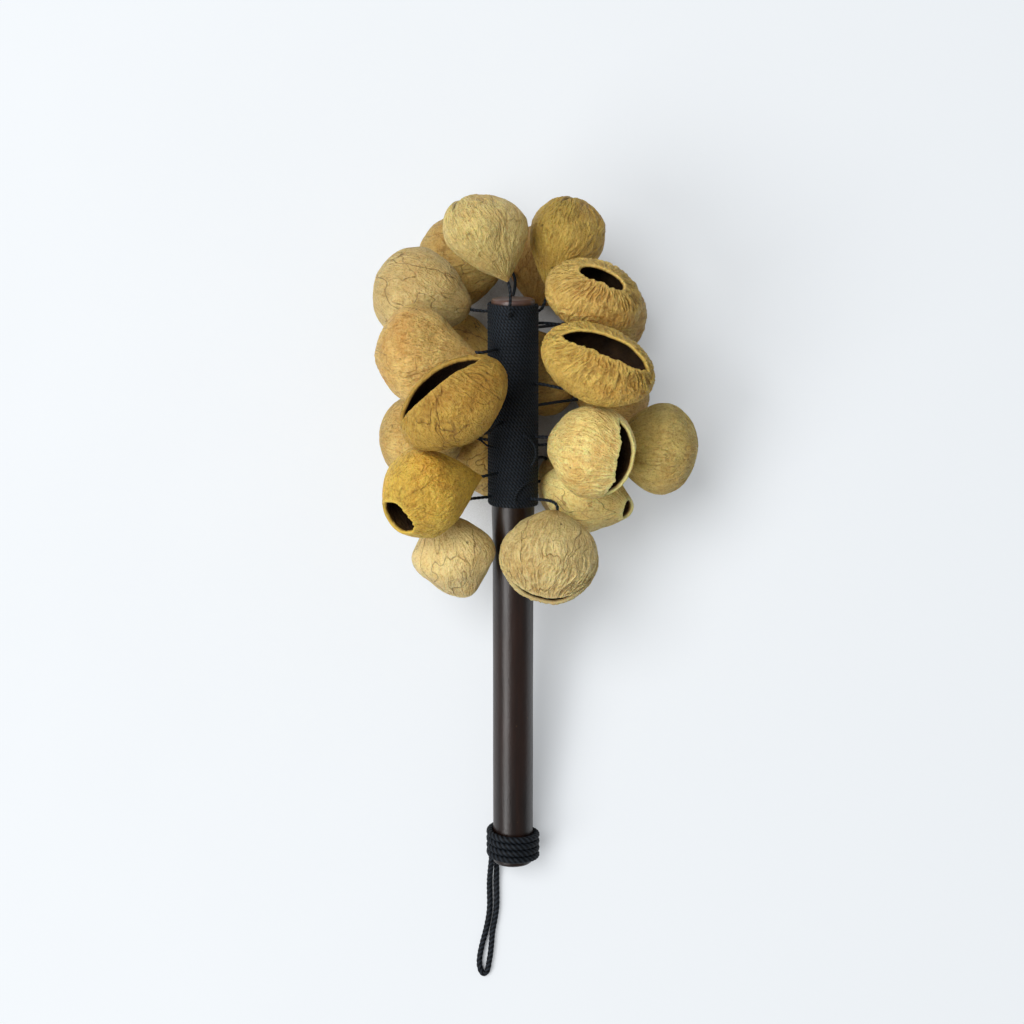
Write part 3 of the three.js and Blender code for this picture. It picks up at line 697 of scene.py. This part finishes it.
def leg_start(around):
    """Where a leg of the loop leaves the lowest turn of the band, and a straight run down from there."""
    angle = math.radians(around)
    radius = GRIP_DIAMETER / 2 + FIT_GAP + CORD_DIAMETER / 2
    height = band_turn_height(around) - FIT_GAP
    return [on_stick([math.cos(angle) * radius, y, math.sin(angle) * radius])
            for y in (height, height - CORD_DIAMETER)]


def wrist_loop(material):
    """Cord from the band, along the table and back to the band."""
    lift = CORD_DIAMETER / 2 + FIT_GAP
    route = leg_start(LOOP_LEGS[0])
    route += [np.array([BUTT[0] + x, BUTT[1] + y, lift + z]) for x, y, z in LOOP_ROUTE]
    route += leg_start(LOOP_LEGS[1])[::-1]
    obj, path, run = cord_piece(
        "wrist_loop_cord", route, LOOP_STEP, CORD_DIAMETER, LOOP_LAY, material, "stick")
    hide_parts("wrist_loop")


def winding(
    name, node, material, lay, start, radius, turns, pitch, diameter, steps, wobble, spread=1.0,
):
    """Twisted twine wound round the stick in close, slightly uneven turns of so many steps each."""
    count = int(turns * steps) + 1
    share = np.arange(count) / steps
    # The first turn starts under the stick; the turns drift along it and swell a little
    angle = TURN * (share - 0.25)
    drift = wobble * noise(np.stack([share * 1.7, share * 0 + 3.1, np.sin(angle)], -1), 11)
    rise = start + pitch * share + drift
    around = np.stack([np.cos(angle) * 2, np.sin(angle) * 2, share * 0.9], -1)
    swell = radius + 0.5 * wobble * noise(around, 12)
    outward = np.stack([np.cos(angle), 0 * angle, np.sin(angle)], -1)
    path = outward * swell[:, None] + np.stack([0 * rise, rise, 0 * rise], -1)
    tangent = unit(np.gradient(path, axis=0))
    across = np.cross(tangent, outward)
    run = np.concatenate([[0], np.cumsum(np.linalg.norm(np.diff(path, axis=0), axis=1))])
    points, faces, lobe = twisted_cord(path, run, outward, across, diameter, lay, spread)
    obj = piece(name, on_stick(points), faces, material, "stick", {"lobe": lobe})
    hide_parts(node)


def stray_end(name, bend, material):
    """Loose end of twine that stands off the binding."""
    route = on_stick(bend)
    cord_piece(name, route, STRAY_STEP, STRAY_DIAMETER, STRAY_LAY, material, "stick")


# Stick

def stick_piece(material):
    """Turned dowel with eased ends, a faint swell under the binding and slight unevenness."""
    grip, head = GRIP_DIAMETER / 2, HEAD_DIAMETER / 2
    edge = STICK_EDGE
    top = STICK_LENGTH
    quarter = np.linspace(0, math.pi / 2, EDGE_STEPS)
    butt_round = [(grip - edge + edge * math.sin(a), edge - edge * math.cos(a)) for a in quarter]
    head_round = [(head - edge + edge * math.cos(a), top - edge + edge * math.sin(a)) for a in quarter]
    taper_start = BINDING_START - HEAD_TAPER_LENGTH
    shaft = [(grip, y) for y in np.linspace(SHAFT_START, taper_start, SHAFT_STEPS)]
    taper = [(grip + (head - grip) * smooth(0, 1, s), BINDING_START - HEAD_TAPER_LENGTH * (1 - s))
             for s in np.linspace(1 / TAPER_STEPS, 1, TAPER_STEPS)]
    bound_start = BINDING_START + BOUND_MARGINS[0]
    bound = [(head, y) for y in np.linspace(bound_start, top - BOUND_MARGINS[1], BOUND_STEPS)]
    butt_face = [(radius, 0) for radius in FACE_RINGS]
    head_face = [(radius, top) for radius in FACE_RINGS[::-1]]
    rings = butt_face + butt_round + shaft + taper + bound + head_round + head_face
    angle = TURN * np.arange(STICK_SIDES) / STICK_SIDES
    profile = np.array(rings)
    ring = np.stack([np.cos(angle), 0 * angle, np.sin(angle)], -1)
    points = profile[:, None, 0:1] * ring[None] + np.array([0, 1, 0]) * profile[:, None, 1:2]
    flat = points.reshape(-1, 3)
    uneven = noise(flat * np.array([0.12, 0.03, 0.12]), 5)[:, None] * STICK_UNEVENNESS
    flat = flat + uneven * (flat * [1, 0, 1]) / grip
    bare_start = top - HEAD_BARE_LENGTH
    bare = smooth(bare_start - 1, bare_start + 0.5, flat[:, 1])
    matrix = Matrix.Translation(Vector(BUTT * MM)) @ Matrix(STICK_TURN.tolist()).to_4x4()
    faces = capped_grid(len(profile), STICK_SIDES)
    obj = piece("turned_stick", flat, faces, material, "stick", {"bare": bare}, matrix)
    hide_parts("stick")


# Seed pods

def girth(share, ends):
    """Fullness of a pod at a share of the way round its outline from the tip to the mouth."""
    tip, mouth = ends
    from_tip = tip + (1 - tip) * smooth(0, END_REACH, share)
    return from_tip * (mouth + (1 - mouth) * smooth(0, END_REACH, 1 - share))


def rotation(axis, degrees):
    return np.array(Matrix.Rotation(math.radians(degrees), 3, axis))


def pod_axes(facing):
    heading, rise, turn = facing
    return STICK_TURN @ rotation("Z", -heading) @ rotation("X", rise) @ rotation("Y", turn)


def pod_tip(number, axes, length, ends):
    """Tip of a pod's solid, found from its widest ring."""
    rings = np.arange(SHELL_RINGS + 1) / SHELL_RINGS
    share = rings[np.argmax(girth(rings, ends) * np.sin(math.pi * rings))]
    points = node_points(f"seed_pod_{number:02d}") @ axes
    low, high = points.min(0), points.max(0)
    widest = points[points[:, 0] > high[0] - 0.01][:, 1].mean()
    start = widest - length * (1 - math.cos(math.pi * share)) / 2
    return axes @ np.array([(low[0] + high[0]) / 2, start, (low[2] + high[2]) / 2])


def mouth_rim(mouth, width, depth, ends, columns, seed):
    """Points at even steps round the mouth's edge, seen along the pod: its mouth end is 0, its tip is 1."""
    span, gape, to_side, lift, blunt, ragged = mouth[:6]
    fine = TURN * np.arange(RIM_POINTS) / RIM_POINTS
    x = to_side + span / 2 * np.cos(fine)
    z = gape / depth / 2 * np.sign(np.sin(fine)) * np.abs(np.sin(fine)) ** blunt
    ring = np.stack([np.cos(fine) * RIM_WAVES, np.sin(fine) * RIM_WAVES, 0 * fine + seed], -1)
    ragged = ragged * np.where(np.sin(fine) > 0, 1.0, LOWER_RAGGEDNESS)
    z = z * (1 + GAPE_UNEVENNESS * ragged * noise(ring, seed))
    rag = sum(height * noise(ring * close, seed + k) for height, close, k in RAGS)
    z = lift + z + ragged / depth * rag
    step = np.hypot(np.diff(x * width, append=x[0] * width), np.diff(z * depth, append=z[0] * depth))
    run = np.concatenate([[0], np.cumsum(step)])
    at = run[-1] * np.arange(columns) / columns
    x = np.interp(at, run, np.append(x, x[0]))
    z = np.interp(at, run, np.append(z, z[0]))
    shares = np.linspace(1, 0.55, 400)
    share = np.interp(np.hypot(x, z), girth(shares, ends) * np.sin(math.pi * shares) / 2, shares)
    turn = np.arctan2(z, x)
    return (1 - share)[:, None] * np.stack([np.cos(turn), np.sin(turn)], -1)


def grid_normals(points):
    """Outward normals of a grid of rows of points that close round."""
    around = np.roll(points, -1, axis=1) - np.roll(points, 1, axis=1)
    along_rows = np.gradient(points, axis=0)
    return unit(np.cross(along_rows, around))


def crest(points, seed):
    """Sharp-backed ridges, 0 to 1, along the lines where smooth noise is zero."""
    return np.clip(1 - np.abs(noise(points, seed)) / RIDGE_SHARPNESS, 0, 1)


def pod_shell(number, axes, tip, size, ends, mouth, look, surface):
    """Hollow shell with wrinkles and pits, a drilled tip and a cut mouth with a rolled lip."""
    length, width, depth = size
    columns, rows, inner_rows = FRONT_MESH if number <= FRONT_PODS else BACK_MESH
    ridge_weight, ridge_close = surface[:2]
    seed = 100 * number

    u = np.arange(columns) / columns
    tip_ring = (1 - TIP_HOLE_SHARE) * np.stack([np.cos(TURN * u), np.sin(TURN * u)], -1)
    rim_ring = mouth_rim(mouth, width, depth, ends, columns, seed)
    flare, flare_reach = mouth[6:]

    def drop(t, shrink):
        """Grid of points on the pod's form at rows t from the tip (0) to the mouth's edge (1)."""
        t = t[:, None]
        spot = tip_ring * (1 - t[..., None]) + rim_ring * t[..., None]
        turn = np.arctan2(spot[..., 1], spot[..., 0])
        share = 1 - np.hypot(spot[..., 0], spot[..., 1])
        radius = girth(share, ends) * np.sin(math.pi * share) / 2
        points = np.stack([
            (width - 2 * shrink) * radius * np.cos(turn),
            shrink + (length - 2 * shrink) * (1 - np.cos(math.pi * share)) / 2,
            (depth - 2 * shrink) * radius * np.sin(turn),
        ], -1)
        outward = unit(points - [0, length / 2, 0])
        swell = sum(height * noise(points / span, seed + k) for height, span, k in SWELLS)
        for way, amount, spread in FORMS.get(number, ()):
            aim = axes.T @ STICK_TURN @ unit(np.array(way))
            swell = swell + amount * np.exp((outward @ aim - 1) / spread)
        points = points + outward * ((swell - SHELL_DRAWN_IN) * smooth(0, 0.12, share))[..., None]
        points[..., 1] += flare * np.exp(-((1 - t) * 0.8 * length / flare_reach) ** 2)
        return points

    t_outer = np.linspace(0, 1, rows) ** 1.1
    outer = drop(t_outer, SHELL_SKIN)
    normal = grid_normals(outer)
    if np.sum(normal[rows // 2] * (outer[rows // 2] - outer[rows // 2].mean(0))) < 0:
        normal = -normal
    steps = np.linalg.norm(np.diff(outer, axis=0), axis=2)
    reach = np.cumsum(np.concatenate([np.zeros((1, columns)), steps]), 0)
    from_rim = reach[-1][None, :] - reach

    # Wrinkle coordinates that follow the lines from tip to mouth
    core = (width + depth) / 4
    grain = np.stack([
        np.broadcast_to(core * np.cos(TURN * u), reach.shape),
        np.broadcast_to(core * np.sin(TURN * u), reach.shape),
        reach,
    ], -1)
    bent = grain
    for height, span, k in BENDS:
        bent = bent + height * noise3(outer / span + number, seed + k)
    fine = bent * ridge_close
    ridge = sum(weight * crest(fine * np.array(close), seed + k) for weight, close, k in RIDGES)
    where = smooth(-0.5, 0.3, noise(outer / FOLD_REACH + 40, seed + 6))
    where = np.maximum(FOLD_SHARE * where, 1 - smooth(*FOLD_FADE, from_rim))
    quiet = smooth(0, TIP_QUIET, reach) * (0.3 + 0.7 * smooth(*RIM_QUIET, from_rim))
    folds = quiet * ridge_weight * where * (ridge - RIDGE_MIDDLE)

    rng = np.random.default_rng(seed)
    pit = np.zeros(reach.shape)
    for _ in range(rng.integers(*PIT_COUNTS)):
        spot = outer[rng.integers(rows // 4, rows - 12), rng.integers(columns)]
        away = np.linalg.norm(outer - spot, axis=2)
        pit = np.maximum(pit, 1 - smooth(PIT_CORE, rng.uniform(*PIT_RADII), away))

    roll = np.exp(-(from_rim / LIP_REACH) ** 2)
    outer_points = outer + normal * (folds - PIT_DEPTH * pit + LIP_HEIGHT * roll)[..., None]

    # Edge of the mouth and the hollow
    t_inner = np.linspace(1, 0, inner_rows) ** 1.3
    hollow = drop(t_inner, SHELL_WALL)
    edge_out = outer_points[-1]
    edge_in = hollow[0]
    inward = unit(np.cross(np.roll(edge_out, -1, 0) - np.roll(edge_out, 1, 0), normal[-1]))
    if np.sum(inward * (edge_out - edge_out.mean(0))) > 0:
        inward = -inward
    shares = np.array(LIP_ROWS)[:, None, None]
    lip = edge_out * (1 - shares) + edge_in * shares + inward * LIP_BULGE * np.sin(math.pi * shares)

    points = np.concatenate([outer_points, lip, hollow])
    total = len(points)

    def over_outside(values, rest=0.0):
        full = np.full((total, columns), rest)
        full[:rows] = values
        return full

    # The lip's four rows turn from the pale rim to the dark hollow; deeper in, the hollow darkens more as
    # painted shade
    inside = np.zeros((total, columns))
    inside[rows + 2] = 0.12
    inside[rows + 3] = 0.25
    inside[rows + 4:] = 0.3 + 0.7 * smooth(1, 0.72, t_inner)[:, None]
    rim = over_outside(roll)
    rim[rows:rows + 3] = 1
    grains = np.zeros((total, columns, 3))
    grains[:rows] = grain + 0.5 * (bent - grain)
    attributes = {
        "inside": inside.ravel(),
        "rim": rim.ravel(),
        # relief carries the folds' height for their painted shade and painted highlight
        "relief": over_outside(RELIEF_MIDDLE + RELIEF_GAIN * folds, RELIEF_MIDDLE).ravel(),
        "pit": over_outside(pit).ravel(),
        "tip": over_outside(1 - smooth(1, 9, reach)).ravel(),
        "grain": grains.reshape(-1, 3),
    }
    faces = grid_faces(total, columns, closed_rows=True)[:, ::-1]
    matrix = Matrix.Translation(Vector(tip * MM)) @ Matrix(axes.tolist()).to_4x4()
    flat = points.reshape(-1, 3)
    obj = piece(f"shell_{number:02d}", flat, [faces], look, f"pod_{number:02d}", attributes, matrix)
    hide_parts(f"seed_pod_{number:02d}")


def pod_tie(number, axes, tip, material):
    """Twisted cord from under the binding through the pod's tip to an overhand knot in its hollow."""
    joint = next(j for j in frame["joints"] if j["child"] == f"pod_{number:02d}")
    pivot = np.array(joint["pos_m"]) / MM
    off = (pivot - BUTT) @ STICK_TURN
    off = STICK_TURN @ unit(np.array([off[0], 0, off[2]]))
    inward = axes[:, 1]
    ease = np.linalg.norm(tip - pivot) / 3
    bend = np.array([pivot, pivot + off * ease, tip - inward * ease, tip])
    t = np.linspace(0, 1, TIE_POINTS)[:, None]
    weights = ((1 - t) ** 3, 3 * (1 - t) ** 2 * t, 3 * (1 - t) * t ** 2, t ** 3)
    span = sum(weight * point for weight, point in zip(weights, bend))
    seat = KNOT_SEAT + KNOT_DIAMETER / 2
    entry = [pivot - off * (TIE_DIAMETER / 2 + TIE_ROOT)]
    knot_turn = np.linspace(KNOT_OPENING, TURN - KNOT_OPENING, KNOT_POINTS)
    knot = np.stack([
        np.sin(knot_turn) + 2 * np.sin(2 * knot_turn),
        -np.sin(3 * knot_turn),
        np.cos(knot_turn) - 2 * np.cos(2 * knot_turn),
    ], -1) * KNOT_SCALE
    knot = knot @ axes.T + tip + inward * (seat + KNOT_LIFT)
    route = np.vstack([entry, span, knot])
    obj, _, _ = cord_piece(
        f"tie_{number:02d}", route, TIE_STEP, TIE_DIAMETER, TIE_LAY, material, f"pod_{number:02d}")
    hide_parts(f"pod_tie_{number:02d}")


stage()
cord_look = fibre_material("black_cord", CORD_COLOUR, 1500)
twine_look = fibre_material("black_twine", TWINE_COLOUR, 2200)
wrist_loop(cord_look)
stick_piece(wood_material())
winding(
    "band_cord", "butt_band", cord_look, BAND_LAY,
    start=BUTT_BARE_LENGTH + CORD_DIAMETER / 2,
    radius=GRIP_DIAMETER / 2 + FIT_GAP + CORD_DIAMETER / 2,
    turns=BAND_TURNS,
    pitch=CORD_DIAMETER + BAND_SPACING,
    diameter=CORD_DIAMETER + BAND_SWELL,
    steps=180,
    wobble=0.12,
)
winding(
    "binding_twine", "head_binding", twine_look, BINDING_LAY,
    start=BINDING_START + BINDING_MARGIN,
    radius=HEAD_DIAMETER / 2 + FIT_GAP + TWINE_DIAMETER / 2,
    turns=BINDING_TURNS,
    pitch=(BINDING_LENGTH - 2 * BINDING_MARGIN) / BINDING_TURNS,
    diameter=TWINE_DIAMETER,
    steps=150,
    wobble=0.16,
    spread=1.5,
)
for order, bend in enumerate(STRAY_ENDS):
    stray_end(f"stray_end_{order + 1}", bend, twine_look)
for number, facing, size, ends, mouth, slot, colour, surface in PODS:
    pod_size = (POD_LENGTH * size[0], POD_WIDTH * size[1], POD_DEPTH * size[2])
    turned = pod_axes(facing)
    tip_point = pod_tip(number, turned, pod_size[0], ends)
    look = shell_material(f"shell_{number:02d}", colour, surface)
    pod_shell(number, turned, tip_point, pod_size, ends, mouth, look, surface)
    pod_tie(number, turned, tip_point, twine_look)
